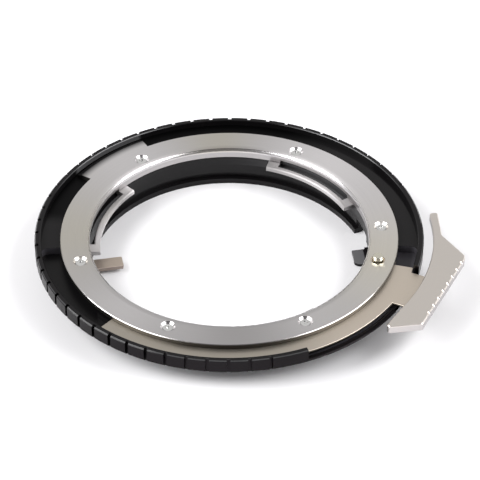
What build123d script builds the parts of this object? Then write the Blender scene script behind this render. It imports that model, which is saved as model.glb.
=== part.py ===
from build123d import *
from math import radians, sin, cos
import os

# Lens mount adapter: a plated lens bayonet ring screwed to a black anodised body that carries
# the camera bayonet underneath, with a sprung release lever between them.
# Millimetres and degrees. The origin is on the optical axis in the camera flange plane,
# +Z points to the lens and the release handle stands out towards +X.

# Lens flange to camera flange: 46.5 mm less 44.0 mm, each mount's flange to the image plane
flange_spacing = 2.5

# Lens bayonet ring
ring_bore_r = 23.75           # wall that centres the lens
ring_hub_w = 3.45             # bore to the hub's outside
ring_lip_w = 1.55             # thin outer flange beyond the hub, over the release plate
ring_lip_t = 0.85
ring_depth = 1.65             # lens flange to the seat in the body
ring_round = 0.55             # rolled inner edge
ring_edge = 0.1               # outer edge chamfer
ear_gap = 0.55                # ear to the body's rim
ear_start = 120.6
ear_arc = 27.2
ear_bevel_w = 1.0
ear_bevel_h = 0.45

# Bayonet lugs of the ring, each a springy bridge behind an arc slot
lug_reach = 1.75              # lugs inside the ring's bore
lug_centres = (49.2, 163.0, 285.0)
lug_arc = 47.5
lug_foot_arc = 5.0
lug_bottom_drop = 2.65        # lug underside below the lens flange
lug_bridge_drop = 1.9         # top of the bridge below the lens flange
lug_bridge_w = 1.0
lug_foot_rise = 0.12          # foot's outer end above the bridge
lug_foot_gap = 0.3            # slit over the foot, outside the bore
lug_edge = 0.2
lug_round = 0.35              # bridge's outer edge
lug_root_w = 0.75             # foot's hold on the ring outside the bore
lug_slot_rise = 0.5           # slot cut up into the ring

# Ring screws
screw_inset = 1.2             # screw circle inside the hub's outside
screw_angles = (4.4, 63.1, 126.6, 196.5, 247.6, 298.7)
screw_head_r = 0.85
screw_head_h = 0.4
screw_shank_r = 0.5
screw_end_gap = 0.05          # screw tip inside its hole
screw_sink = 0.35             # head below the lens flange

# Body
barrel_step = 0.25            # barrel's bore outside the ring's bore
barrel_wall = 1.4
barrel_drop = 5.0             # camera flange to the end of the barrel
barrel_edge = 0.3
lip_w = 0.3
lip_h = 1.0
baffle_groove_w = 0.5
baffle_groove_h = 1.2
flange_relief = 0.15
rim_wall = 1.0
rim_rise = 0.28               # rim above the lens flange
rim_top_edge = 0.22
rim_inner_edge = 0.12
rim_foot_edge = 0.5
rib_pitch = 6.0
rib_first_groove = 24.0
rib_count = 44
rib_groove_w = 0.6
rib_groove_depth = 0.62

# Release channel and the milled parts of the rim
channel_w = 4.75              # ring's seat to the rim
channel_start = 185.5
channel_end = 355.5
channel_corner_r = 1.2
channel_floor = 0.25          # web left above the camera flange plane
low_rim_start = 293.0
low_rim_top = 0.8
low_rim_edge = 0.12
pad_start = 221.8             # pad that carries the release plate's fixed end
pad_arc = 13.7
pad_w = 1.7

# Camera bayonet lugs and lock recess
camera_lug_centres = (60.0, 180.0, 300.0)
camera_lug_arc = 46.0
camera_lug_h = 1.5
camera_lug_gap = 1.6          # camera flange to the lugs
camera_lug_t = 1.4
camera_lug_corner = 0.6
lock_recess_inset = 2.1       # from the ring's seat outwards
lock_recess_angle = 60.0
lock_recess_w = 2.6
lock_recess_l = 4.0
lock_recess_depth = 1.1

# Barrel window and stop tab
window_start = 10.3
window_arc = 12.7
window_top_drop = 1.7
stop_arc = 9.8
stop_reach = 2.5
stop_t = 0.6
stop_corner = 1.0

# Release plate
plate_t = 0.3
plate_edge = 0.06
plate_start = 228.0
plate_end = 345.4
plate_corner = 0.3
neck_angle = 335.3
neck_w = 8.6
neck_lap = 2.55               # neck under the handle
neck_gap = 0.75               # rim notch beside the neck
tongue_r = 1.45

# Lock pin
pin_inset = 1.25              # pin's centre inside the hub's outside
pin_angle = 344.3
pin_r = 0.9
pin_proud = 0.9
pin_round = 0.2               # rounding of the pin's top
pin_tenon_r = 0.6

# Release handle
handle_t = 1.4
handle_gap = 1.6              # rim to the handle
handle_tip_angle = 33.0       # angles are from the neck's centre line
handle_horn_angle = 23.2
handle_shoulder_angle = 15.6
handle_grip_angle = 13.9
handle_heel_angle = -12.6
handle_foot_angle = -18.8
handle_arc_end = -9.5
handle_horn_w = 1.45
handle_shoulder_w = 5.45
handle_grip_w = 5.55
handle_heel_w = 5.0
handle_foot_w = 0.7
handle_foot_out_w = 1.4
handle_corner = 0.45
notch_count = 8               # notches in the grip's upper edge
notch_r = 0.42
notch_lift = 0.12             # notch axis outside the edge
handle_edge = 0.15

# Aperture tab
tab_angle = 183.2
tab_turn = 8.0                # from the radius, about its root
tab_reach = 5.5               # tip inside the barrel's lip
tab_w = 2.45
tab_t = 0.7
tab_top_drop = 3.5            # below the camera flange
tab_hold = 1.2                # length held in the barrel wall
tab_corner = 0.25

# Clearances
hub_clear = 0.1
spring_clear = 0.06           # above and below the release plate
plate_clear = 0.25
rim_clear = 0.1
lug_clear = 0.1
pin_clear = 0.3
pocket_clear = 0.25
screw_clear = 0.06
tenon_clear = 0.02
tab_clear = 0.03

# Heights worked out from the sizes above
flange_z = flange_spacing
seat_z = flange_z - ring_depth
ledge_z = flange_z - ring_lip_t
rim_top_z = flange_z + rim_rise
plate_top_z = ledge_z - spring_clear
plate_z = plate_top_z - plate_t
barrel_end_z = -barrel_drop
lug_bottom_z = flange_z - lug_bottom_drop
lug_bridge_z = flange_z - lug_bridge_drop

# Radii and angles worked out from the sizes above, from the lens bore outwards
throat_r = ring_bore_r - lug_reach
lug_bridge_r = throat_r + lug_bridge_w
lug_root_r = ring_bore_r + lug_root_w
lug_slit_r = ring_bore_r + lug_foot_gap
lug_ridge_r = (throat_r + lug_bridge_r) / 2
lug_seat_r = lug_root_r + lug_clear
ring_hub_r = ring_bore_r + ring_hub_w
ring_outer_r = ring_hub_r + ring_lip_w
screw_r = ring_hub_r - screw_inset
pin_circle_r = ring_hub_r - pin_inset
seat_r = ring_hub_r + hub_clear
rim_inner_r = seat_r + channel_w
rim_outer_r = rim_inner_r + rim_wall
ear_outer_r = rim_inner_r - ear_gap
plate_inner_r = ring_hub_r + plate_clear
plate_outer_r = rim_inner_r - rim_clear
handle_inner_r = rim_outer_r + handle_gap
neck_reach_r = handle_inner_r + neck_lap
barrel_bore_r = ring_bore_r + barrel_step
barrel_outer_r = barrel_bore_r + barrel_wall
baffle_groove_r = barrel_bore_r + baffle_groove_w
lip_r = barrel_bore_r - lip_w
stop_r = barrel_bore_r - stop_reach
tab_root_r = lip_r + tab_hold
tab_length = tab_reach + tab_hold
camera_lug_r = barrel_outer_r + camera_lug_h
lock_recess_r = seat_r + lock_recess_inset
window_end = window_start + window_arc


def polar(radius, angle):
    """Point at a radius and an angle about the optical axis."""
    return (radius * cos(radians(angle)), radius * sin(radians(angle)))


def radial_plane(angle):
    """Upright plane through the optical axis, with local x outwards at the angle."""
    outwards = Vector(*polar(1, angle), 0)
    return Plane((0, 0, 0), x_dir=outwards, z_dir=outwards.cross(Vector(0, 0, 1)))


def sector(height, inner_r, outer_r, start, end, corner=0):
    """Flat arc of a ring between two angles, its corners rounded if asked."""
    with BuildSketch(Plane.XY.offset(height)) as arc_face:
        with BuildLine():
            CenterArc((0, 0), inner_r, start, end - start)
            Line(polar(inner_r, end), polar(outer_r, end))
            CenterArc((0, 0), outer_r, start, end - start)
            Line(polar(outer_r, start), polar(inner_r, start))
        make_face()
        if corner:
            fillet(arc_face.vertices(), corner)
    return arc_face.sketch


def tongue(height, margin):
    """Round-ended tongue from the release plate to the lock pin, grown by a margin."""
    half_w = tongue_r + margin
    with BuildSketch(Plane.XY.offset(height).rotated((0, 0, pin_angle))) as tongue_face:
        with Locations((pin_circle_r, 0)):
            Circle(half_w)
        with Locations(((pin_circle_r + ring_outer_r) / 2, 0)):
            Rectangle(ring_outer_r - pin_circle_r, 2 * half_w)
    return tongue_face.sketch


def tab_strip(margin):
    """Strip of the aperture tab, turned about its root in the barrel's wall and grown by a margin."""
    with BuildSketch(Plane.XY.offset(-tab_top_drop + margin).rotated((0, 0, tab_angle))) as strip_face:
        with Locations(Location((tab_root_r, 0), tab_turn)):
            with Locations((-tab_length / 2, 0)):
                Rectangle(tab_length + 2 * margin, tab_w + 2 * margin)
        fillet(strip_face.vertices(), tab_corner)
    return strip_face.sketch


screw_points = [polar(screw_r, angle) for angle in screw_angles]

# Adapter body, turned from one piece and milled
with BuildPart() as adapter_body:
    with BuildSketch(Plane.XZ):
        with BuildLine():
            Polyline(
                (barrel_bore_r, seat_z),
                (seat_r, seat_z),
                (seat_r, ledge_z),
                (rim_inner_r, ledge_z),
                (rim_inner_r, rim_top_z - rim_inner_edge),
                (rim_inner_r + rim_inner_edge, rim_top_z),
                (rim_outer_r - rim_top_edge, rim_top_z),
                (rim_outer_r, rim_top_z - rim_top_edge),
                (rim_outer_r, rim_foot_edge),
                (rim_outer_r - rim_foot_edge, 0),
                (seat_r, 0),
                (seat_r, flange_relief),
                (barrel_outer_r, flange_relief),
                (barrel_outer_r, barrel_end_z + barrel_edge),
                (barrel_outer_r - barrel_edge, barrel_end_z),
                (lip_r, barrel_end_z),
                (lip_r, barrel_end_z + lip_h),
                (baffle_groove_r, barrel_end_z + lip_h),
                (baffle_groove_r, barrel_end_z + lip_h + baffle_groove_h),
                (barrel_bore_r, barrel_end_z + lip_h + baffle_groove_h),
                close=True,
            )
        make_face()
    revolve(axis=Axis.Z)

    # Camera bayonet lugs round the barrel
    for centre in camera_lug_centres:
        lug_half = camera_lug_arc / 2
        lug_face = sector(
            -camera_lug_gap - camera_lug_t,
            barrel_outer_r - camera_lug_corner,
            camera_lug_r,
            centre - lug_half,
            centre + lug_half,
            camera_lug_corner,
        )
        extrude(lug_face, amount=camera_lug_t)

    # Stop tab inside the barrel's end, beside the window
    with BuildSketch(Plane.XY.offset(barrel_end_z)) as stop_face:
        add(sector(barrel_end_z, stop_r, barrel_bore_r, window_start - stop_arc, window_start))
        stop_tip = Vector(*polar(stop_r, window_start - stop_arc))
        fillet(stop_face.vertices().sort_by_distance(stop_tip)[0], stop_corner)
    extrude(amount=stop_t)

    # Release channel with the pad that carries the plate's fixed end
    channel_face = sector(channel_floor, seat_r, rim_inner_r, channel_start, channel_end, channel_corner_r)
    extrude(channel_face, amount=rim_top_z, mode=Mode.SUBTRACT)
    pad_face = sector(channel_floor, seat_r, seat_r + pad_w, pad_start, pad_start + pad_arc)
    extrude(pad_face, amount=plate_z - spring_clear - channel_floor)

    # Pocket for the lock pin's tongue
    extrude(tongue(channel_floor, pocket_clear), amount=rim_top_z, mode=Mode.SUBTRACT)

    # Rim notch for the neck, and the lowered rim beside it
    with BuildSketch(Plane.XY.offset(channel_floor).rotated((0, 0, neck_angle))):
        with Locations(((rim_inner_r + rim_outer_r) / 2, 0)):
            Rectangle(3 * rim_wall, neck_w + 2 * neck_gap)
    extrude(amount=rim_top_z, mode=Mode.SUBTRACT)
    with BuildSketch(radial_plane(low_rim_start)):
        with BuildLine():
            Polyline(
                (rim_inner_r - low_rim_edge, low_rim_top - 2 * low_rim_edge),
                (rim_inner_r + low_rim_edge, low_rim_top),
                (rim_outer_r - low_rim_edge, low_rim_top),
                (rim_outer_r + low_rim_edge, low_rim_top - 2 * low_rim_edge),
                (rim_outer_r + low_rim_edge, rim_top_z + low_rim_edge),
                (rim_inner_r - low_rim_edge, rim_top_z + low_rim_edge),
                close=True,
            )
        make_face()
    revolve(axis=Axis.Z, revolution_arc=neck_angle - low_rim_start, mode=Mode.SUBTRACT)

    # Grip grooves round the rim
    with BuildSketch(Plane.XY):
        with PolarLocations(
            rim_outer_r,
            rib_count,
            start_angle=rib_first_groove,
            angular_range=rib_pitch * rib_count,
        ):
            Rectangle(2 * rib_groove_depth, rib_groove_w)
    extrude(amount=rim_top_z, mode=Mode.SUBTRACT)

    # Seats for the lugs of the lens ring
    for centre in lug_centres:
        seat_half = lug_arc / 2 + lug_clear
        seat_face = sector(
            lug_bottom_z - lug_clear, throat_r, lug_seat_r, centre - seat_half, centre + seat_half
        )
        extrude(seat_face, amount=ring_depth, mode=Mode.SUBTRACT)

    # Window through the barrel, tapped holes, lock recess and the aperture tab's slot
    window_face = sector(barrel_end_z, stop_r, barrel_outer_r + barrel_edge, window_start, window_end)
    extrude(window_face, amount=barrel_drop - window_top_drop, mode=Mode.SUBTRACT)
    with BuildSketch(Plane.XY.offset(flange_relief)):
        with Locations(*screw_points):
            Circle(screw_shank_r + screw_clear)
    extrude(amount=seat_z, mode=Mode.SUBTRACT)
    with BuildSketch(Plane.XY.rotated((0, 0, lock_recess_angle))):
        with Locations((lock_recess_r, 0)):
            SlotOverall(lock_recess_l, lock_recess_w, rotation=90)
    extrude(amount=lock_recess_depth, mode=Mode.SUBTRACT)
    extrude(tab_strip(tab_clear), amount=-tab_t - 2 * tab_clear, mode=Mode.SUBTRACT)

# Lens bayonet ring, one plated piece with its ear and three springy lugs
with BuildPart() as lens_bayonet_ring:
    with BuildSketch(Plane.XZ) as ring_profile:
        with BuildLine():
            Polyline(
                (ring_bore_r, flange_z),
                (ring_bore_r, seat_z),
                (ring_hub_r, seat_z),
                (ring_hub_r, ledge_z),
                (ring_outer_r, ledge_z),
                (ring_outer_r, flange_z - ring_edge),
                (ring_outer_r - ring_edge, flange_z),
                close=True,
            )
        make_face()
        fillet(ring_profile.vertices().sort_by_distance((ring_bore_r, flange_z))[0], ring_round)
    revolve(axis=Axis.Z)

    # Ear that reaches to the rim
    with BuildSketch(radial_plane(ear_start)):
        with BuildLine():
            Polyline(
                (ring_hub_r, ledge_z),
                (ear_outer_r, ledge_z),
                (ear_outer_r, flange_z - ear_bevel_h),
                (ear_outer_r - ear_bevel_w, flange_z),
                (ring_hub_r, flange_z),
                close=True,
            )
        make_face()
    revolve(axis=Axis.Z, revolution_arc=ear_arc)

    # Lugs: a foot at each end and the bridge between them, with the slot above the bridge
    for centre in lug_centres:
        lug_start = centre - lug_arc / 2
        lug_end = centre + lug_arc / 2
        for foot_start in (lug_start, lug_end - lug_foot_arc):
            with BuildSketch(radial_plane(foot_start)):
                with BuildLine():
                    Polyline(
                        (throat_r, lug_bottom_z),
                        (lug_root_r, lug_bottom_z),
                        (lug_root_r, seat_z + lug_slot_rise),
                        (lug_slit_r, seat_z + lug_slot_rise),
                        (lug_slit_r, lug_bridge_z + lug_foot_rise),
                        (lug_ridge_r, lug_bridge_z),
                        (throat_r + lug_edge, lug_bridge_z),
                        (throat_r, lug_bridge_z - lug_edge),
                        close=True,
                    )
                make_face()
            revolve(axis=Axis.Z, revolution_arc=lug_foot_arc)
        with BuildSketch(radial_plane(lug_start)) as bridge_face:
            with BuildLine():
                Polyline(
                    (throat_r, lug_bottom_z),
                    (lug_bridge_r, lug_bottom_z),
                    (lug_bridge_r, lug_bridge_z),
                    (throat_r + lug_edge, lug_bridge_z),
                    (throat_r, lug_bridge_z - lug_edge),
                    close=True,
                )
            make_face()
            fillet(bridge_face.vertices().sort_by_distance((lug_bridge_r, lug_bridge_z))[0], lug_round)
        revolve(axis=Axis.Z, revolution_arc=lug_arc)
        slot_face = sector(
            seat_z, lug_bridge_r, lug_root_r, lug_start + lug_foot_arc, lug_end - lug_foot_arc
        )
        extrude(slot_face, amount=lug_slot_rise, mode=Mode.SUBTRACT)

    # Countersunk screw holes, the lock pin's hole and room for its tongue
    with Locations(*[(x, y, flange_z) for x, y in screw_points]):
        CounterSinkHole(
            screw_shank_r + screw_clear,
            screw_head_r + screw_clear + screw_sink,
            depth=ring_depth,
            counter_sink_angle=90,
        )
    with BuildSketch(Plane.XY.offset(seat_z)):
        with Locations(polar(pin_circle_r, pin_angle)):
            Circle(pin_r + pin_clear)
    extrude(amount=ring_depth, mode=Mode.SUBTRACT)
    extrude(tongue(seat_z, pocket_clear), amount=ledge_z - seat_z, mode=Mode.SUBTRACT)

# Ring screws, one group of six
with BuildPart() as bayonet_screws:
    screw_top_z = flange_z - screw_sink
    with Locations(*[(x, y, screw_top_z) for x, y in screw_points]):
        Cone(
            screw_head_r - screw_head_h,
            screw_head_r,
            screw_head_h,
            align=(Align.CENTER, Align.CENTER, Align.MAX),
        )
        Cylinder(
            screw_shank_r,
            screw_top_z - flange_relief - screw_end_gap,
            align=(Align.CENTER, Align.CENTER, Align.MAX),
        )

# Release plate, a flat spring with its neck and the tongue under the lock pin
with BuildPart() as release_spring_plate:
    with BuildSketch(Plane.XY.offset(plate_z)) as plate_face:
        add(sector(plate_z, plate_inner_r, plate_outer_r, plate_start, plate_end, plate_corner))
        add(tongue(plate_z, 0))
        with Locations(polar((plate_inner_r + neck_reach_r) / 2, neck_angle)):
            Rectangle(neck_reach_r - plate_inner_r, neck_w, rotation=neck_angle)
        with Locations(polar(pin_circle_r, pin_angle)):
            Circle(pin_tenon_r + tenon_clear, mode=Mode.SUBTRACT)
    extrude(amount=plate_t)
    chamfer(release_spring_plate.faces().sort_by(Axis.Z)[-1].edges(), plate_edge)

# Lock pin, a round-edged pin on a tenon riveted into the tongue
with BuildPart() as lock_pin:
    with BuildSketch(Plane.XY.offset(plate_top_z)):
        with Locations(polar(pin_circle_r, pin_angle)):
            Circle(pin_r)
    extrude(amount=flange_z + pin_proud - plate_top_z)
    fillet(lock_pin.edges().sort_by(Axis.Z)[-1], pin_round)
    with BuildSketch(Plane.XY.offset(plate_z)):
        with Locations(polar(pin_circle_r, pin_angle)):
            Circle(pin_tenon_r)
    extrude(amount=plate_t)

# Release handle, a thicker plate on the neck's outer end with a serrated grip
with BuildPart() as release_handle:
    arc_end = polar(handle_inner_r, neck_angle + handle_arc_end)
    tip = polar(handle_inner_r, neck_angle + handle_tip_angle)
    tip_out = polar(handle_inner_r + handle_horn_w, neck_angle + handle_tip_angle)
    horn = polar(handle_inner_r + handle_horn_w, neck_angle + handle_horn_angle)
    shoulder = polar(handle_inner_r + handle_shoulder_w, neck_angle + handle_shoulder_angle)
    grip = polar(handle_inner_r + handle_grip_w, neck_angle + handle_grip_angle)
    heel = polar(handle_inner_r + handle_heel_w, neck_angle + handle_heel_angle)
    foot = polar(handle_inner_r + handle_foot_w, neck_angle + handle_foot_angle)
    foot_out = polar(handle_inner_r + handle_foot_out_w, neck_angle + handle_foot_angle)
    grip_edge = Vector(*heel) - Vector(*grip)
    grip_out = Vector(-grip_edge.Y, grip_edge.X).normalized()
    handle_top = Vector(0, 0, plate_top_z + handle_t)
    notch_up = (grip_out + Vector(0, 0, 1)).normalized()
    notches = [
        Vector(*grip) + grip_edge * ((i + 0.5) / (notch_count + 1)) + handle_top + notch_up * notch_lift
        for i in range(notch_count)
    ]
    with BuildSketch(Plane.XY.offset(plate_top_z)) as handle_face:
        with BuildLine():
            Polyline(tip, tip_out, horn, shoulder, grip, heel, foot_out, foot, arc_end)
            CenterArc(
                (0, 0), handle_inner_r, neck_angle + handle_arc_end, handle_tip_angle - handle_arc_end
            )
        make_face()
        fillet(handle_face.vertices(), handle_corner)
    extrude(amount=handle_t)
    chamfer(release_handle.faces().sort_by(Axis.Z)[-1].edges(), handle_edge)
    with Locations(*[Plane(point, z_dir=grip_out - Vector(0, 0, 1)) for point in notches]):
        Cylinder(notch_r, 4 * notch_r, mode=Mode.SUBTRACT)

# Aperture tab, a strip of sheet held in the barrel's wall
with BuildPart() as aperture_tab:
    extrude(tab_strip(0), amount=-tab_t)

adapter_body.part.label = "adapter_body"
lens_bayonet_ring.part.label = "lens_bayonet_ring"
bayonet_screws.part.label = "bayonet_screws"
release_spring_plate.part.label = "release_spring_plate"
lock_pin.part.label = "lock_pin"
release_handle.part.label = "release_handle"
aperture_tab.part.label = "aperture_tab"

os.makedirs("parts", exist_ok=True)
export_step(adapter_body.part, "parts/adapter_body.step")
export_step(lens_bayonet_ring.part, "parts/lens_bayonet_ring.step")
export_step(bayonet_screws.part, "parts/bayonet_screws.step")
export_step(release_spring_plate.part, "parts/release_spring_plate.step")
export_step(lock_pin.part, "parts/lock_pin.step")
export_step(release_handle.part, "parts/release_handle.step")
export_step(aperture_tab.part, "parts/aperture_tab.step")
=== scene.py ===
import math

import bpy
from bpy.props import FloatProperty, FloatVectorProperty, IntProperty, PointerProperty
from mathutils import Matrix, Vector


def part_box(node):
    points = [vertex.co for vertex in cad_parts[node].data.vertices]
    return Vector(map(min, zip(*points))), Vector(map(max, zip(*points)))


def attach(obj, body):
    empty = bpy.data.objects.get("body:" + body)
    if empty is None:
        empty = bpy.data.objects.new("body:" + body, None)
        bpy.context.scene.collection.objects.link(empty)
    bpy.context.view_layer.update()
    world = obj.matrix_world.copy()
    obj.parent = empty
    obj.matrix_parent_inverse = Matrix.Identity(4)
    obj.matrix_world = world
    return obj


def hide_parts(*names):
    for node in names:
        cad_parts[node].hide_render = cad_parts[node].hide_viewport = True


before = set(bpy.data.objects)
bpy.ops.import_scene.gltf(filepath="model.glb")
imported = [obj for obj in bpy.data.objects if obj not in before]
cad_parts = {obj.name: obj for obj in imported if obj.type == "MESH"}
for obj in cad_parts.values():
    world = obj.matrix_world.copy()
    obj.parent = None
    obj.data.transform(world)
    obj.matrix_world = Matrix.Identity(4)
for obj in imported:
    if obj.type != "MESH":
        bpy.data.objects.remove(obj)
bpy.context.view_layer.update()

bl_info = {
    "name": "Lens mount adapter",
    "version": (1, 0, 0),
    "blender": (4, 5, 0),
    "location": "View3D > Sidebar > Adapter",
    "description": "Dresses the lens mount adapter in its metal finishes on a pale studio floor",
    "category": "Object",
}

MM = 0.001

# Places on the solids, in millimetres from the axis or above the camera flange
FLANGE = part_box("lens_bayonet_ring")[1].z / MM
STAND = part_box("adapter_body")[0].z / MM
RIM_R = -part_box("adapter_body")[0].x / MM
RIM_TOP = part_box("adapter_body")[1].z / MM
TAB_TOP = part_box("aperture_tab")[1].z / MM
PLATE_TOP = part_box("release_spring_plate")[1].z / MM
HANDLE_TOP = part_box("release_handle")[1].z / MM

# Where a finish changes, from the start to the end of the change, in millimetres
RIM_EDGE_R = (RIM_R - 0.24, RIM_R - 0.2)
RIM_EDGE_Z = (RIM_TOP - 0.2, RIM_TOP - 0.1)
RIM_BEVEL_Z = (RIM_TOP - 0.13, RIM_TOP - 0.11)
GRIP_R = (RIM_R - 0.68, RIM_R - 0.64)
GRIP_Z = (RIM_TOP - 0.26, RIM_TOP - 0.22)
FACE_Z = (FLANGE - 0.05, FLANGE - 0.01)
UNDER_FACE_Z = (FLANGE - 0.12, FLANGE - 0.05)
OUTER_WALL_Z = (FLANGE - 0.15, FLANGE - 0.1)
BORE_WALL_Z = (FLANGE - 0.75, FLANGE - 0.45)
LUG_Z = (FLANGE - 1.75, FLANGE - 1.6)
PLATE_SIDE_Z = (PLATE_TOP - 0.05, PLATE_TOP - 0.01)
HANDLE_SIDE_Z = (HANDLE_TOP - 0.3, HANDLE_TOP - 0.15)
TAB_SIDE_Z = (TAB_TOP - 0.1, TAB_TOP - 0.03)
STOP_TAB_R = (23.3, 23.5)
STOP_TAB_Z = (STAND + 0.5, STAND + 0.58)
NECK_FLOOR_R = (27.5, 28.0)
PLATE_EDGE_R = (31.1, 31.3)
LUG_SLOT_R = (23.95, 24.6)
LUG_SLOT_Z = (-1.0, 1.1)
FLOOR_GLOW_R = (27.5, 31.0)

# Stretches about the axis in degrees where light or shade is painted: a fade, or a fade in and a fade out
SHADED_LEDGE = ((45, 75), (167, 174))
EAR_WALL = ((119.3, 121), (146, 147.7))
PLATE_FREE_END = (-80, -50)

# Directions about the axis in degrees where light or shade is painted, most with the power that narrows the
# stretch around them
NECK_FLOOR = (352, 60.0)
PLATE_EDGE = (318, 8.0)
LUG_SLOT = (49, 10.0)
RING_LIGHT_SIDE = 48.13
RING_DIM = (315, 30.0)
RING_LIT = (258, 60.0)
RING_WARM_REFLECTIONS = ((345, 10.0), (180, 12.0), (95, 40.0))
LUG_UNSHADED = (163, 6.0)
LUG_SHADED = (147, 60.0)
LEFT_LUG_END = (177, 30.0)
LEFT_LUG_TIP = (135, 300.0)
RIGHT_LUG_END = (34, 30.0)
FLOOR_GLOW = (264, 8.0)

# How far back a direction points, from -1 to 1, where the tent light starts and where it is full
TENT_FADE = (-0.35, 0.6)

# Sides of a screw's head and of the pit in its cross, and the pit as shares of the slots
HEAD_SIDES = 48
PIT_SIDES = 24
PIT_RADIUS = 0.95
PIT_DEPTH = 1.3
PIT_DROP = 1.25


class Socket:
    """A node's output that can stand in a sum, a product or a power."""

    def __init__(self, sheet, socket):
        self.sheet = sheet
        self.socket = socket

    def other(self, name):
        """Another output of the same node."""
        return Socket(self.sheet, self.socket.node.outputs[name])

    def __add__(self, value):
        return self.sheet.math("ADD", self, value)

    def __radd__(self, value):
        return self.sheet.math("ADD", value, self)

    def __sub__(self, value):
        return self.sheet.math("SUBTRACT", self, value)

    def __rsub__(self, value):
        return self.sheet.math("SUBTRACT", value, self)

    def __mul__(self, value):
        return self.sheet.math("MULTIPLY", self, value)

    def __rmul__(self, value):
        return self.sheet.math("MULTIPLY", value, self)

    def __pow__(self, value):
        return self.sheet.math("POWER", self, value)


class Sheet:
    """A node tree that is filled by expressions: a finish or a rule for repeated pieces."""

    def __init__(self, tree):
        self.tree = tree

    def node(self, kind, settings=None, inputs=None, output=0):
        """Adds a node, sets it up, fills its inputs and gives one of its outputs."""
        made = self.tree.nodes.new(kind)
        for key, value in (settings or {}).items():
            setattr(made, key, value)
        for key, value in (inputs or {}).items():
            if isinstance(value, Socket):
                self.tree.links.new(value.socket, made.inputs[key])
            else:
                made.inputs[key].default_value = value
        return Socket(self, made.outputs[output]) if made.outputs else made

    def math(self, operation, first, second=0.0):
        """A Math node on one or two values."""
        return self.node("ShaderNodeMath", {"operation": operation}, {0: first, 1: second})

    def rise(self, value, start, end):
        """A smooth step from 0 at start to 1 at end."""
        return self.node(
            "ShaderNodeMapRange",
            {"interpolation_type": "SMOOTHSTEP"},
            {"Value": value, "From Min": start, "From Max": end},
        )

    def band(self, value, low, high, soft):
        """1 between low and high, fading to 0 over soft at each side."""
        return self.rise(value, low - soft, low) * (1 - self.rise(value, high, high + soft))

    def blend(self, factor, first, second):
        """A mix of two colours."""
        return self.node(
            "ShaderNodeMix", {"data_type": "RGBA"}, {0: factor, 6: first, 7: second}, output=2
        )

    def tinted(self, factor, colour, cast):
        """A colour multiplied by a cast, as far as the factor says."""
        return self.node(
            "ShaderNodeMix",
            {"data_type": "RGBA", "blend_type": "MULTIPLY"},
            {0: factor, 6: colour, 7: cast},
            output=2,
        )

    def noise(self, point, scale, detail=2.0):
        """Soft noise from 0 to 1 at a point."""
        return self.node(
            "ShaderNodeTexNoise", None, {"Vector": point, "Scale": scale, "Detail": detail}
        )

    def point(self, x, y, z):
        """A vector of three values."""
        return self.node("ShaderNodeCombineXYZ", None, {"X": x, "Y": y, "Z": z})

    def bump(self, height, strength, depth_mm, normal=None):
        """A normal roughened by a height map, over another one where it is given."""
        inputs = {"Strength": strength, "Distance": depth_mm * MM, "Height": height}
        if normal:
            inputs["Normal"] = normal
        return self.node("ShaderNodeBump", None, inputs)


class Finish(Sheet):
    """The node tree of one surface finish, with places given in millimetres."""

    def __init__(self, name):
        self.material = bpy.data.materials.new(name)
        self.material.use_nodes = True
        super().__init__(self.material.node_tree)
        self.tree.nodes.clear()
        place = self.node("ShaderNodeTexCoord", output="Object")
        metres = self.node("ShaderNodeSeparateXYZ", None, {0: place})
        self.x = metres * (1 / MM)
        self.y = metres.other("Y") * (1 / MM)
        self.z = metres.other("Z") * (1 / MM)
        self.r = (self.x * self.x + self.y * self.y) ** 0.5
        self.angle = self.math("ARCTAN2", self.y, self.x)
        self.spot = self.point(self.x, self.y, self.z)

    def wave(self, degrees):
        """1 at an angle about the axis, falling to -1 on the opposite side."""
        return self.math("COSINE", self.angle - math.radians(degrees))

    def lobe(self, degrees, power):
        """1 at an angle about the axis, falling to 0 at either side, the faster the higher the power."""
        return self.math("MAXIMUM", self.wave(degrees), 0.0) ** power

    def sweep(self, start, end):
        """A smooth step from 0 at one angle about the axis to 1 at another, in degrees."""
        return self.rise(self.angle, math.radians(start), math.radians(end))

    def arc(self, fade_in, fade_out):
        """1 between two fades about the axis, each from a start to an end in degrees."""
        return self.sweep(*fade_in) * (1 - self.sweep(*fade_out))

    def turned(self, across, along, down, detail):
        """Noise drawn out round the axis, as turning leaves it, with its density in each direction."""
        return self.noise(self.point(self.r * across, self.angle * along, self.z * down), 1.0, detail)

    def done(self, **inputs):
        """Closes the tree with the surface shader, whose inputs are named with underscores."""
        named = {key.replace("_", " "): value for key, value in inputs.items()}
        surface = self.node("ShaderNodeBsdfPrincipled", None, named)
        self.node("ShaderNodeOutputMaterial", None, {"Surface": surface})
        return self.material


def rgb(colour):
    """A colour property as the four values that a socket takes."""
    return (*colour, 1.0)


def rim_glint(f, inner_r):
    """Painted highlight on the rim's inner edge, at the back left and the back right."""
    edge = f.band(f.r, inner_r, inner_r + 0.1, 0.02) * f.rise(f.z, *RIM_BEVEL_Z)
    behind = f.rise(f.math("SINE", f.angle), 0.0, 0.2)
    diagonal = f.math("ABSOLUTE", f.math("SINE", f.angle * 2.0))
    return edge * behind * f.rise(diagonal, 0.6, 0.9)


def painted_light_on_channel(f, body, floor):
    """Painted light on the ends of the release channel, and on its floor beside the plate's neck and outer
    edge.
    """
    low, high = body.channel_floor / MM, body.ledge / MM
    ends = f.band(f.angle, body.channel_start - 0.05, body.channel_start + 0.05, 0.01)
    ends = ends + f.band(f.angle, body.channel_end - 0.05, body.channel_end + 0.05, 0.01)
    ends = ends * f.band(f.z, low + 0.05, high - 0.05, 0.04)
    beside = 0.7 * f.rise(f.r, *NECK_FLOOR_R) * f.lobe(*NECK_FLOOR)
    beside = beside + 1.3 * f.rise(f.r, *PLATE_EDGE_R) * f.lobe(*PLATE_EDGE)
    return f.math("MAXIMUM", ends, floor * beside)


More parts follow.
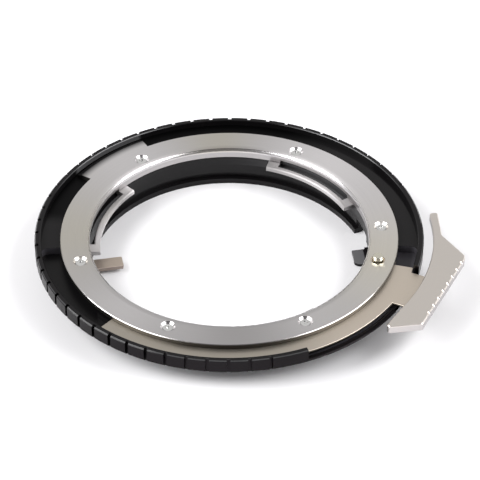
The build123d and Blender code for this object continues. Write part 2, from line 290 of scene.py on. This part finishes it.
def painted_light_places(f, inner_r, high):
    """Painted light: the rim's wall beside the ear, the stop tab and the barrel behind a lug's slot, made
    lighter.
    """
    wall = f.band(f.r, inner_r - 0.02, inner_r + 0.02, 0.01) * f.arc(*EAR_WALL)
    wall = wall * f.band(f.z, high + 0.15, RIM_TOP - 0.14, 0.03)
    stop = (1 - f.rise(f.r, *STOP_TAB_R)) * f.rise(f.z, *STOP_TAB_Z)
    slot = f.band(f.r, *LUG_SLOT_R, 0.05) * f.band(f.z, *LUG_SLOT_Z, 0.1) * f.lobe(*LUG_SLOT)
    return f.math("MAXIMUM", slot * 0.4, f.math("MAXIMUM", wall * 0.55, stop * 0.9))


def anodised_black(colours, body):
    """Satin black anodising over fine turning lines, with rubbed edges, painted highlights, painted light
    and a painted-shade ledge.
    """
    f = Finish("black_anodising")
    inner_r, low, high = RIM_R - body.rim_wall / MM, body.channel_floor / MM, body.ledge / MM
    grain = f.noise(f.spot, scale=9.0, detail=3.0)
    haze = f.noise(f.spot, scale=0.22, detail=3.0)
    lines = f.turned(across=9.0, along=0.6, down=9.0, detail=3.0)
    edge = f.rise(f.r, *RIM_EDGE_R) * f.rise(f.z, *RIM_EDGE_Z)
    gripped = f.rise(f.r, *GRIP_R) * (1 - f.rise(f.z, *GRIP_Z))
    back = f.band(f.z, high - 0.03, high + 0.03, 0.02) * f.arc(*SHADED_LEDGE)
    floor = 1 - f.rise(f.z, low, low + 0.1)
    glint = rim_glint(f, inner_r)
    tint = f.blend(haze, rgb(colours.black), rgb(colours.black_haze_and_ear_shade))
    # Rubbed edge, also a painted highlight along the rim's outer top edge
    tint = f.blend(edge * (0.15 + 0.3 * haze), tint, rgb(colours.wear_and_painted_light))
    # Painted light on the channel's ends and its floor by the neck and the plate's edge
    tint = f.blend(painted_light_on_channel(f, body, floor), tint, rgb(colours.channel_painted_light))
    tint = f.blend(gripped, tint, rgb(colours.rim_black))
    # Painted shade on the ledge behind the ring
    tint = f.blend(back, tint, rgb(colours.ledge_painted_shade))
    # Painted highlight on the rim's inner edge and painted light in lighter places
    painted_light = f.math("MAXIMUM", glint * 0.5, painted_light_places(f, inner_r, high))
    return f.done(
        Base_Color=f.blend(painted_light, tint, rgb(colours.wear_and_painted_light)),
        Metallic=glint * 0.35 + back + gripped,
        Roughness=0.08 + 0.06 * haze + 0.05 * lines + 0.2 * (gripped + floor) + 0.35 * back,
        Normal=f.bump(grain * 0.3 + lines, strength=0.03, depth_mm=0.006),
        Specular_IOR_Level=0.2,
    )


def ring_tone(f, colours):
    """The plating's tone round the ring, with painted light and shade in lighter and darker stretches and
    painted warm reflections in warmer ones.
    """
    sides = f.math("COSINE", f.angle * 2.0)
    painted_ring_light = 0.5 + 0.33 * f.wave(RING_LIGHT_SIDE) + 0.22 * sides
    painted_ring_light = painted_ring_light - 0.35 * f.lobe(*RING_DIM) + 0.2 * f.lobe(*RING_LIT)
    tone = f.blend(painted_ring_light, rgb(colours.plating), rgb(colours.painted_light_plating))
    first, second, third = (f.lobe(*stretch) for stretch in RING_WARM_REFLECTIONS)
    return f.tinted(first + second + third, tone, rgb(colours.painted_warm_reflection))


def lug_tone(f, colours, lug, shade):
    """The tone of the springy lugs: painted shade all over, deeper near the left lug's tip, and painted
    light at the ends.
    """
    painted_lug_shade = 0.15 + 0.55 * f.lobe(*LUG_SHADED)
    painted_lug_light = f.lobe(*LEFT_LUG_END) + f.lobe(*LEFT_LUG_TIP) + 0.33 * f.lobe(*RIGHT_LUG_END)
    shade = f.blend(lug * painted_lug_shade, shade, rgb(colours.lug_painted_shade))
    return f.blend(lug * painted_lug_light, shade, rgb(colours.painted_light_plating))


def turned_plating(colours, ring):
    """Satin plating with fine turning lines round the axis, an eased inner edge, painted light and shade,
    and a painted-shade outer wall.
    """
    f = Finish("turned_plating")
    outer_r, bore_r, ear_r = ring.outer_r / MM, ring.bore_r / MM, ring.ear_r / MM
    eased_r = bore_r + (ring.roll_r + ring.eased_w) / MM
    fine = f.turned(across=14.0, along=1.2, down=4.0, detail=3.0)
    broad = f.turned(across=3.0, along=0.7, down=1.0, detail=2.0)
    face = f.rise(f.z, *FACE_Z)
    under = 1 - f.rise(f.z, *UNDER_FACE_Z)
    wall = 1 - f.rise(f.z, *BORE_WALL_Z)
    lug = 1 - f.rise(f.z, *LUG_Z)
    outer = f.rise(f.r, outer_r - 0.04, outer_r - 0.02) * (1 - f.rise(f.z, *OUTER_WALL_Z))
    ear = f.rise(f.r, ear_r, ear_r + ring.ear_w / MM)
    # Painted shade on the bore wall below the face, left off the left lug
    painted_wall_shade = wall * (0.7 + fine * 0.6) * (1 - lug * f.lobe(*LUG_UNSHADED))
    shade = f.blend(fine * 0.18 + broad * 0.12, ring_tone(f, colours), rgb(colours.turning_lines_and_shade))
    shade = f.blend(painted_wall_shade, shade, rgb(colours.turning_lines_and_shade))
    # Painted shade: the ring's outer wall below its chamfer, darkened
    shade = f.blend(outer * 0.95, shade, rgb(colours.painted_shade_plating))
    # Painted shade: the ear's outer border, darkened to near black
    shade = f.blend(ear * 0.93, shade, rgb(colours.black_haze_and_ear_shade))
    ease = f.node("ShaderNodeMapRange", None, {"Value": f.r, "From Min": bore_r, "From Max": eased_r})
    eased = f.bump(ease * ease * (0.75 - ease * 0.5), strength=1.0, depth_mm=1.0)
    return f.done(
        Base_Color=lug_tone(f, colours, lug, shade),
        Metallic=1.0,
        Roughness=0.14 + face * (0.16 + fine * 0.1 + broad * 0.06) + under * 0.16 + lug * 0.24,
        Anisotropic=0.71,
        Anisotropic_Rotation=0.25,
        Normal=f.bump(fine * face, strength=0.1, depth_mm=0.006, normal=eased),
    )


def plated_sheet(f, light, dark, roughness):
    """Plated sheet metal with fine scratches laid in two directions, its light tone a colour or a mix."""
    cloud = f.noise(f.spot, scale=0.3, detail=3.0)
    long_way = f.point(f.x * 0.9 + f.y * 0.5, f.y * 9.0 - f.x * 5.0, f.z)
    cross_way = f.point(f.x * 7.0 + f.y * 6.0, f.y * 0.6 - f.x * 0.7, f.z)
    along = f.noise(long_way, scale=1.0, detail=3.0)
    across = f.noise(cross_way, scale=1.0, detail=2.0)
    scratch = f.rise(along, 0.58, 0.72) + f.rise(across, 0.66, 0.74) * 0.7
    return f.done(
        Base_Color=f.blend(cloud * 0.6 + scratch * 0.25, light, dark),
        Metallic=1.0,
        Roughness=roughness + 0.1 * cloud + 0.06 * scratch,
        Normal=f.bump(along + across, strength=0.08, depth_mm=0.006),
    )


def spring_plating(colours):
    """Champagne plating of the release plate, with painted shade towards the clamped end and on its edges.
    """
    f = Finish("spring_plate")
    light = f.blend(f.sweep(*PLATE_FREE_END), rgb(colours.spring_painted_shade), rgb(colours.spring))
    # Painted shade on the plate's edges
    edge = 1 - f.rise(f.z, *PLATE_SIDE_Z)
    light = f.blend(edge * 0.8, light, rgb(colours.painted_shade_plating))
    return plated_sheet(f, light, f.blend(0.25, light, rgb(colours.spring_dark)), roughness=0.36)


def handle_plating(colours):
    """Warm grey plating of the handle, duller on its cut edges."""
    f = Finish("handle_plating")
    top = f.rise(f.z, *HANDLE_SIDE_Z)
    light = f.blend(top, rgb(colours.handle_edge), rgb(colours.handle))
    return plated_sheet(f, light, f.blend(0.5, light, rgb(colours.handle_dark)), roughness=0.3)


def tab_plating(colours):
    """Brownish plating of the aperture tab, dull on its cut edges."""
    f = Finish("tab_plating")
    top = f.rise(f.z, *TAB_SIDE_Z)
    light = f.blend(top, rgb(colours.tab_dark), rgb(colours.tab))
    return plated_sheet(f, light, f.blend(0.4, light, rgb(colours.tab_dark)), roughness=0.34)


def polished_plating(name, colour, roughness):
    """Bright polished plating with faint handling marks."""
    f = Finish(name)
    marks = f.noise(f.spot, scale=2.5, detail=4.0)
    return f.done(
        Base_Color=rgb(colour),
        Metallic=1.0,
        Roughness=roughness + 0.06 * marks,
        Normal=f.bump(marks, strength=0.05, depth_mm=0.01),
    )


def studio_floor(colour):
    """Smooth matt white board, with a painted glow of light on it in front of the barrel."""
    f = Finish("studio_floor")
    tooth = f.noise(f.spot, scale=0.8, detail=3.0)
    glow = f.rise(f.r, *FLOOR_GLOW_R) * f.lobe(*FLOOR_GLOW)
    return f.done(
        Base_Color=rgb(colour),
        Roughness=0.85,
        Emission_Color=f.blend(glow, (0.0, 0.0, 0.0, 1.0), rgb(colour)),
        Emission_Strength=0.5,
        Normal=f.bump(tooth, strength=0.03, depth_mm=0.02),
    )


def white_tent(stage):
    """Tent light that is bright behind the adapter and dims overhead and towards the camera."""
    world = bpy.data.worlds.new("white_tent")
    world.use_nodes = True
    w = Sheet(world.node_tree)
    w.tree.nodes.clear()
    towards = w.node("ShaderNodeTexCoord", output="Generated")
    behind = w.node("ShaderNodeSeparateXYZ", None, {0: towards}, output="Y")
    tone = w.blend(w.rise(behind, *TENT_FADE), rgb(stage.front_light), rgb(stage.back_light))
    glow = w.node("ShaderNodeBackground", None, {"Color": tone})
    w.node("ShaderNodeOutputWorld", None, {"Surface": glow})
    return world


def softbox(name, azimuth, power, stage):
    """A square area light that faces the adapter from a direction about the axis."""
    data = bpy.data.lights.new(name, "AREA")
    data.size = stage.box_size
    data.energy = power
    lamp = bpy.data.objects.new(name, data)
    level = math.cos(stage.box_elevation)
    away = Vector((math.cos(azimuth) * level, math.sin(azimuth) * level, math.sin(stage.box_elevation)))
    lamp.location = away * stage.box_distance
    lamp.rotation_euler = (-away).to_track_quat("-Z", "Y").to_euler()
    bpy.context.scene.collection.objects.link(lamp)


def give_finish(node, material):
    """Puts a finish on a solid of the frame."""
    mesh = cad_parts[node].data
    mesh.materials.clear()
    mesh.materials.append(material)


def new_piece(name, mesh, body):
    """Links a finished mesh as a piece that moves with a body."""
    piece = bpy.data.objects.new(name, mesh)
    bpy.context.scene.collection.objects.link(piece)
    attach(piece, body)
    return piece


def true_roll(mesh, bore, roll):
    """Gives the rolled edge between the ring's bore and its face the normals of a true round."""
    mid_r, mid_z = bore + roll, FLANGE * MM - roll
    off_round, past_end = 0.01 * MM, 0.002 * MM
    normals = [Vector(corner.vector) for corner in mesh.corner_normals]
    for face in mesh.polygons:
        spots = [mesh.vertices[i].co for i in face.vertices]
        sides = [(mid_r - p.xy.length, p.z - mid_z) for p in spots]
        near = all(abs(math.hypot(a, b) - roll) < off_round for a, b in sides)
        if near and all(min(a, b) > -past_end for a, b in sides):
            for corner, p, (a, b) in zip(face.loop_indices, spots, sides):
                inwards = -p.xy.normalized() * a
                normals[corner] = Vector((inwards.x, inwards.y, b)).normalized()
    mesh.normals_split_custom_set(normals)


def screw_places():
    """The top centre of each ring screw, read from the frame's six screw solids."""
    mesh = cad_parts["bayonet_screws"].data
    top = max(v.co.z for v in mesh.vertices)
    reach = 4 * MM
    groups = []
    for v in mesh.vertices:
        near = [group for group in groups if (group[0] - v.co).xy.length < reach]
        if near:
            near[0].append(v.co)
        else:
            groups.append([v.co])
    centres = []
    for group in groups:
        xs, ys = [c.x for c in group], [c.y for c in group]
        centres.append(Vector(((min(xs) + max(xs)) / 2, (min(ys) + max(ys)) / 2, top)))
    return centres


def screw_rule(material):
    """Geometry Nodes tree that sets a cross-head countersunk screw on every point."""
    tree = bpy.data.node_groups.new("cross_head_screws", "GeometryNodeTree")
    tree.interface.new_socket("Geometry", in_out="INPUT", socket_type="NodeSocketGeometry")
    sizes = ("Head radius", "Head height", "Shank radius", "Slot width", "Slot length", "Slot depth")
    for size in sizes:
        tree.interface.new_socket(size, in_out="INPUT", socket_type="NodeSocketFloat")
    tree.interface.new_socket("Seed", in_out="INPUT", socket_type="NodeSocketInt")
    tree.interface.new_socket("Geometry", in_out="OUTPUT", socket_type="NodeSocketGeometry")
    g = Sheet(tree)
    given = g.node("NodeGroupInput")
    head_r, head_h, shank_r = (given.other(n) for n in sizes[:3])
    slot_w, slot_l, slot_d = (given.other(n) for n in sizes[3:])
    head = g.node(
        "GeometryNodeMeshCone",
        {"fill_type": "NGON"},
        {
            "Vertices": HEAD_SIDES,
            "Side Segments": 1,
            "Radius Top": head_r,
            "Radius Bottom": shank_r,
            "Depth": head_h,
        },
    )
    head_drop = g.point(0.0, 0.0, head_h * -1.0)
    head = g.node("GeometryNodeTransform", None, {"Geometry": head, "Translation": head_drop})
    slots = []
    for size in (g.point(slot_l, slot_w, slot_d * 2.0), g.point(slot_w, slot_l, slot_d * 2.0)):
        slots.append(g.node("GeometryNodeMeshCube", None, {"Size": size}))
    pit = g.node(
        "GeometryNodeMeshCone",
        {"fill_type": "NGON"},
        {
            "Vertices": PIT_SIDES,
            "Radius Top": slot_w * PIT_RADIUS,
            "Radius Bottom": 0.0,
            "Depth": slot_d * PIT_DEPTH,
        },
    )
    pit_drop = g.point(0.0, 0.0, slot_d * -PIT_DROP)
    pit = g.node("GeometryNodeTransform", None, {"Geometry": pit, "Translation": pit_drop})
    recess = g.node("GeometryNodeMeshBoolean", {"operation": "UNION"})
    boolean = recess.socket.node
    for cutter in (*slots, pit):
        tree.links.new(cutter.socket, boolean.inputs["Mesh 2"])
    screw = g.node(
        "GeometryNodeMeshBoolean", {"operation": "DIFFERENCE"}, {"Mesh 1": head, "Mesh 2": recess}
    )
    turn = g.node(
        "FunctionNodeRandomValue",
        {"data_type": "FLOAT"},
        {2: 0.0, 3: math.pi / 2, "Seed": given.other("Seed")},
        output=1,
    )
    spread = g.node(
        "GeometryNodeInstanceOnPoints",
        None,
        {"Points": given, "Instance": screw, "Rotation": g.point(0.0, 0.0, turn)},
    )
    real = g.node("GeometryNodeRealizeInstances", None, {"Geometry": spread})
    finished = g.node("GeometryNodeSetMaterial", None, {"Geometry": real, "Material": material})
    g.node("NodeGroupOutput", None, {0: finished})
    return tree


def grown(points, tree, values):
    """The plain mesh that a Geometry Nodes tree makes on a set of points."""
    seeds = bpy.data.meshes.new("seed_points")
    seeds.from_pydata([tuple(p) for p in points], [], [])
    carrier = bpy.data.objects.new("seed_points", seeds)
    bpy.context.scene.collection.objects.link(carrier)
    modifier = carrier.modifiers.new("rule", "NODES")
    modifier.node_group = tree
    for item in tree.interface.items_tree:
        if item.in_out == "INPUT" and item.name in values:
            modifier[item.identifier] = values[item.name]
    evaluated = carrier.evaluated_get(bpy.context.evaluated_depsgraph_get())
    mesh = bpy.data.meshes.new_from_object(evaluated)
    carrier.modifiers.clear()
    bpy.data.objects.remove(carrier)
    return mesh


class AdapterFinishes(bpy.types.PropertyGroup):
    """Colours of the adapter's finishes."""

    black: FloatVectorProperty(
        name="Black", description="Anodised black", subtype="COLOR", default=(0.0046, 0.0042, 0.0046)
    )
    # Random haze in the black, also the painted shade on the ear's border
    black_haze_and_ear_shade: FloatVectorProperty(
        name="Black sheen",
        description="Lighter haze in the black",
        subtype="COLOR",
        default=(0.0075, 0.0068, 0.0074),
    )
    # Rubbed edge of the rim, also the colour of painted highlights and painted light
    wear_and_painted_light: FloatVectorProperty(
        name="Worn edge", description="Rubbed edge of the rim", subtype="COLOR", default=(0.16, 0.16, 0.165)
    )
    rim_black: FloatVectorProperty(
        name="Rim black",
        description="Gripped face of the rim",
        subtype="COLOR",
        default=(0.012, 0.0105, 0.0115),
    )
    # Painted shade on the ledge behind the ring
    ledge_painted_shade: FloatVectorProperty(
        name="Deep black",
        description="Shaded ledge behind the ring",
        subtype="COLOR",
        default=(0.008, 0.0078, 0.0082),
    )
    # Painted light on the channel's ends and floor
    channel_painted_light: FloatVectorProperty(
        name="Milled black",
        description="Milled faces of the channel",
        subtype="COLOR",
        default=(0.06, 0.057, 0.065),
    )
    plating: FloatVectorProperty(
        name="Plating", description="Satin ring plating", subtype="COLOR", default=(0.55, 0.535, 0.535)
    )
    # Painted highlight: the ring's brighter stretches and the lugs' bright ends
    painted_light_plating: FloatVectorProperty(
        name="Light plating",
        description="Brighter stretches of the ring",
        subtype="COLOR",
        default=(0.9, 0.875, 0.885),
    )
    # Painted reflection: the warm cast of the ring's warmer stretches
    painted_warm_reflection: FloatVectorProperty(
        name="Warm cast",
        description="Cast of the ring's warmer stretches",
        subtype="COLOR",
        default=(1.0, 0.98, 0.87),
    )
    # Dark turning lines, also the painted shade on the bore wall
    turning_lines_and_shade: FloatVectorProperty(
        name="Turning lines", description="Dark turning lines", subtype="COLOR", default=(0.42, 0.405, 0.405)
    )
    # Painted shade on the lugs
    lug_painted_shade: FloatVectorProperty(
        name="Lug plating",
        description="Duller plating of the lugs",
        subtype="COLOR",
        default=(0.25, 0.24, 0.235),
    )
    # Painted shade for the ring's outer wall and the release plate's edges
    painted_shade_plating: FloatVectorProperty(
        name="Ring wall",
        description="Dark outer wall of the ring",
        subtype="COLOR",
        default=(0.06, 0.056, 0.048),
    )
    spring: FloatVectorProperty(
        name="Release plate", description="Champagne plating", subtype="COLOR", default=(0.73, 0.65, 0.56)
    )
    # Painted shade on the plate near its clamped end
    spring_painted_shade: FloatVectorProperty(
        name="Clamped end",
        description="Plating near the clamped end",
        subtype="COLOR",
        default=(0.5, 0.46, 0.4),
    )
    spring_dark: FloatVectorProperty(
        name="Release plate marks", description="Duller plating", subtype="COLOR", default=(0.54, 0.48, 0.4)
    )
    handle: FloatVectorProperty(
        name="Handle", description="Warm grey plating", subtype="COLOR", default=(0.8, 0.75, 0.7)
    )
    handle_dark: FloatVectorProperty(
        name="Handle marks", description="Duller plating", subtype="COLOR", default=(0.66, 0.61, 0.565)
    )
    handle_edge: FloatVectorProperty(
        name="Handle edges",
        description="Cut edges of the handle",
        subtype="COLOR",
        default=(0.47, 0.45, 0.45),
    )
    tab: FloatVectorProperty(
        name="Aperture tab", description="Brownish plating", subtype="COLOR", default=(0.7, 0.6, 0.51)
    )
    tab_dark: FloatVectorProperty(
        name="Aperture tab marks", description="Duller plating", subtype="COLOR", default=(0.3, 0.25, 0.22)
    )
    screw: FloatVectorProperty(
        name="Screws", description="Bright screw plating", subtype="COLOR", default=(0.86, 0.86, 0.85)
    )
    pin: FloatVectorProperty(
        name="Lock pin", description="Polished pin", subtype="COLOR", default=(0.8, 0.77, 0.66)
    )


class AdapterBody(bpy.types.PropertyGroup):
    """Sizes of the black body that its finish follows."""

    rim_wall: FloatProperty(
        name="Rim wall", description="Thickness of the rim", unit="LENGTH", default=1.0 * MM
    )
    ledge: FloatProperty(
        name="Ledge", description="Height of the black ledge", unit="LENGTH", default=1.65 * MM
    )
    channel_floor: FloatProperty(
        name="Channel floor",
        description="Height of the release channel's floor",
        unit="LENGTH",
        default=0.25 * MM,
    )
    channel_start: FloatProperty(
        name="Channel start",
        description="Clamped end of the channel",
        subtype="ANGLE",
        default=math.radians(-174.5),
    )
    channel_end: FloatProperty(
        name="Channel end",
        description="Free end of the channel",
        subtype="ANGLE",
        default=math.radians(-4.5),
    )


class AdapterRing(bpy.types.PropertyGroup):
    """Sizes of the lens bayonet ring."""

    bore_r: FloatProperty(
        name="Bore radius", description="Wall that centres the lens", unit="LENGTH", default=23.75 * MM
    )
    roll_r: FloatProperty(
        name="Rolled edge", description="Round of the bore's edge", unit="LENGTH", default=0.55 * MM
    )
    eased_w: FloatProperty(
        name="Eased width",
        description="Polished stretch outside the rolled edge",
        unit="LENGTH",
        default=0.7 * MM,
    )
    outer_r: FloatProperty(
        name="Outer radius", description="Outside of the ring's lip", unit="LENGTH", default=28.75 * MM
    )
    ear_r: FloatProperty(
        name="Ear border", description="Start of the ear's dark border", unit="LENGTH", default=29.0 * MM
    )
    ear_w: FloatProperty(
        name="Ear border width",
        description="Width over which the ear's border darkens",
        unit="LENGTH",
        default=1.9 * MM,
    )


class AdapterScrews(bpy.types.PropertyGroup):
    """Sizes of the ring screws."""

    head_r: FloatProperty(
        name="Head radius", description="Countersunk head", unit="LENGTH", default=0.85 * MM
    )
    head_h: FloatProperty(
        name="Head height", description="Cone under the head", unit="LENGTH", default=0.35 * MM
    )
    shank_r: FloatProperty(
        name="Shank radius", description="Threaded shank", unit="LENGTH", default=0.5 * MM
    )
    slot_w: FloatProperty(
        name="Slot width", description="Width of the cross", unit="LENGTH", default=0.26 * MM
    )
    slot_l: FloatProperty(
        name="Slot length", description="Span of the cross", unit="LENGTH", default=1.0 * MM
    )
    slot_d: FloatProperty(
        name="Slot depth", description="Depth of the cross", unit="LENGTH", default=0.22 * MM
    )
    seed: IntProperty(name="Seed", description="Turn of each cross", default=4)


class AdapterStage(bpy.types.PropertyGroup):
    """Camera, lights and floor."""

    target: FloatVectorProperty(
        name="Target",
        description="Point the camera looks at",
        subtype="TRANSLATION",
        default=(0.00183, -0.0018, 0.0025),
    )
    distance: FloatProperty(
        name="Distance", description="Camera to target", unit="LENGTH", default=0.4318
    )
    elevation: FloatProperty(
        name="Elevation",
        description="Camera above the horizon",
        subtype="ANGLE",
        default=math.radians(38.95),
    )
    lens: FloatProperty(name="Lens", description="Focal length in mm on a 36 mm sensor", default=191.07)
    near_clip: FloatProperty(
        name="Near clip", description="Nearest point that shows", unit="LENGTH", default=0.01
    )
    far_clip: FloatProperty(
        name="Far clip", description="Farthest point that shows", unit="LENGTH", default=20.0
    )
    floor_size: FloatProperty(
        name="Floor", description="Side of the floor board", unit="LENGTH", default=6.0
    )
    floor_colour: FloatVectorProperty(
        name="Floor colour", description="Matt white board", subtype="COLOR", default=(0.92, 0.915, 0.93)
    )
    back_light: FloatVectorProperty(
        name="Back light",
        description="White tent behind the adapter",
        subtype="COLOR",
        default=(0.62, 0.615, 0.61),
    )
    front_light: FloatVectorProperty(
        name="Front light",
        description="Dim room in front of the tent",
        subtype="COLOR",
        default=(0.16, 0.155, 0.16),
    )
    left_power: FloatProperty(name="Left box", description="Power of the left softbox in W", default=6.1)
    right_power: FloatProperty(name="Right box", description="Power of the right softbox in W", default=5.1)
    left_azimuth: FloatProperty(
        name="Left side",
        description="Direction of the left softbox",
        subtype="ANGLE",
        default=math.radians(196),
    )
    right_azimuth: FloatProperty(
        name="Right side",
        description="Direction of the right softbox",
        subtype="ANGLE",
        default=math.radians(348),
    )
    box_elevation: FloatProperty(
        name="Box elevation",
        description="Softboxes above the horizon",
        subtype="ANGLE",
        default=math.radians(40),
    )
    box_distance: FloatProperty(
        name="Box distance", description="Softboxes to the adapter", unit="LENGTH", default=0.7
    )
    box_size: FloatProperty(name="Box size", description="Side of a softbox", unit="LENGTH", default=0.55)


class ADAPTER_OT_body(bpy.types.Operator):
    """Finish the black anodised body"""

    bl_idname = "adapter.body"
    bl_label = "Body"

    def execute(self, context):
        scene = context.scene
        give_finish("adapter_body", anodised_black(scene.adapter_finishes, scene.adapter_body))
        return {"FINISHED"}


class ADAPTER_OT_bayonet_ring(bpy.types.Operator):
    """Finish the turned and plated lens bayonet ring"""

    bl_idname = "adapter.bayonet_ring"
    bl_label = "Bayonet ring"

    def execute(self, context):
        sizes = context.scene.adapter_ring
        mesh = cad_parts["lens_bayonet_ring"].data.copy()
        true_roll(mesh, sizes.bore_r, sizes.roll_r)
        mesh.materials.clear()
        mesh.materials.append(turned_plating(context.scene.adapter_finishes, sizes))
        piece = new_piece("plated_bayonet_ring", mesh, "adapter")
        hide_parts("lens_bayonet_ring")
        return {"FINISHED"}


class ADAPTER_OT_screws(bpy.types.Operator):
    """Set the six cross-head screws in the ring"""

    bl_idname = "adapter.screws"
    bl_label = "Ring screws"

    def execute(self, context):
        sizes = context.scene.adapter_screws
        colour = context.scene.adapter_finishes.screw
        material = polished_plating("bright_screws", colour, roughness=0.12)
        values = {
            "Head radius": sizes.head_r,
            "Head height": sizes.head_h,
            "Shank radius": sizes.shank_r,
            "Slot width": sizes.slot_w,
            "Slot length": sizes.slot_l,
            "Slot depth": sizes.slot_d,
            "Seed": sizes.seed,
        }
        mesh = grown(screw_places(), screw_rule(material), values)
        piece = new_piece("ring_screw_set", mesh, "adapter")
        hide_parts("bayonet_screws")
        return {"FINISHED"}


class ADAPTER_OT_release_lever(bpy.types.Operator):
    """Finish the release plate, its handle and the lock pin"""

    bl_idname = "adapter.release_lever"
    bl_label = "Release lever"

    def execute(self, context):
        colours = context.scene.adapter_finishes
        give_finish("release_spring_plate", spring_plating(colours))
        give_finish("release_handle", handle_plating(colours))
        give_finish("lock_pin", polished_plating("pin_polish", colours.pin, roughness=0.16))
        return {"FINISHED"}


class ADAPTER_OT_aperture_tab(bpy.types.Operator):
    """Finish the aperture tab"""

    bl_idname = "adapter.aperture_tab"
    bl_label = "Aperture tab"

    def execute(self, context):
        give_finish("aperture_tab", tab_plating(context.scene.adapter_finishes))
        return {"FINISHED"}


class ADAPTER_OT_stage(bpy.types.Operator):
    """Lay the pale floor, hang the softboxes and set the camera"""

    bl_idname = "adapter.stage"
    bl_label = "Stage"

    def execute(self, context):
        stage = context.scene.adapter_stage
        half = stage.floor_size / 2
        mesh = bpy.data.meshes.new("studio_floor")
        corners = [(x * half, y * half, STAND * MM) for x, y in ((-1, -1), (1, -1), (1, 1), (-1, 1))]
        mesh.from_pydata(corners, [], [(0, 1, 2, 3)])
        mesh.materials.append(studio_floor(stage.floor_colour))
        floor = bpy.data.objects.new("studio_floor", mesh)
        context.scene.collection.objects.link(floor)

        softbox("left_box", stage.left_azimuth, stage.left_power, stage)
        softbox("right_box", stage.right_azimuth, stage.right_power, stage)
        context.scene.world = white_tent(stage)
        context.scene.view_settings.view_transform = "Standard"

        data = bpy.data.cameras.new("camera")
        data.lens = stage.lens
        data.clip_start = stage.near_clip
        data.clip_end = stage.far_clip
        camera = bpy.data.objects.new("camera", data)
        back = Vector((0, -math.cos(stage.elevation), math.sin(stage.elevation)))
        camera.location = Vector(stage.target) + back * stage.distance
        camera.rotation_euler = (-back).to_track_quat("-Z", "Y").to_euler()
        context.scene.collection.objects.link(camera)
        context.scene.camera = camera
        return {"FINISHED"}


class ADAPTER_PT_sidebar(bpy.types.Panel):
    """Sidebar list of the adapter's steps and settings"""

    bl_label = "Lens mount adapter"
    bl_idname = "ADAPTER_PT_sidebar"
    bl_space_type = "VIEW_3D"
    bl_region_type = "UI"
    bl_category = "Adapter"

    def draw(self, context):
        for operator in OPERATORS:
            self.layout.operator(operator.bl_idname)
        for group in GROUPS:
            settings = getattr(context.scene, group)
            box = self.layout.box()
            for name in settings.__annotations__:
                box.prop(settings, name)


OPERATORS = (
    ADAPTER_OT_stage,
    ADAPTER_OT_body,
    ADAPTER_OT_bayonet_ring,
    ADAPTER_OT_screws,
    ADAPTER_OT_release_lever,
    ADAPTER_OT_aperture_tab,
)
GROUPS = {
    "adapter_finishes": AdapterFinishes,
    "adapter_body": AdapterBody,
    "adapter_ring": AdapterRing,
    "adapter_screws": AdapterScrews,
    "adapter_stage": AdapterStage,
}
CLASSES = (*GROUPS.values(), *OPERATORS, ADAPTER_PT_sidebar)


def register():
    for cls in CLASSES:
        bpy.utils.register_class(cls)
    for name, cls in GROUPS.items():
        setattr(bpy.types.Scene, name, PointerProperty(type=cls))


def unregister():
    for name in GROUPS:
        delattr(bpy.types.Scene, name)
    for cls in reversed(CLASSES):
        bpy.utils.unregister_class(cls)


def main():
    register()
    bpy.ops.adapter.stage()
    bpy.ops.adapter.body()
    bpy.ops.adapter.bayonet_ring()
    bpy.ops.adapter.screws()
    bpy.ops.adapter.release_lever()
    bpy.ops.adapter.aperture_tab()


if __name__ == "__main__":
    main()
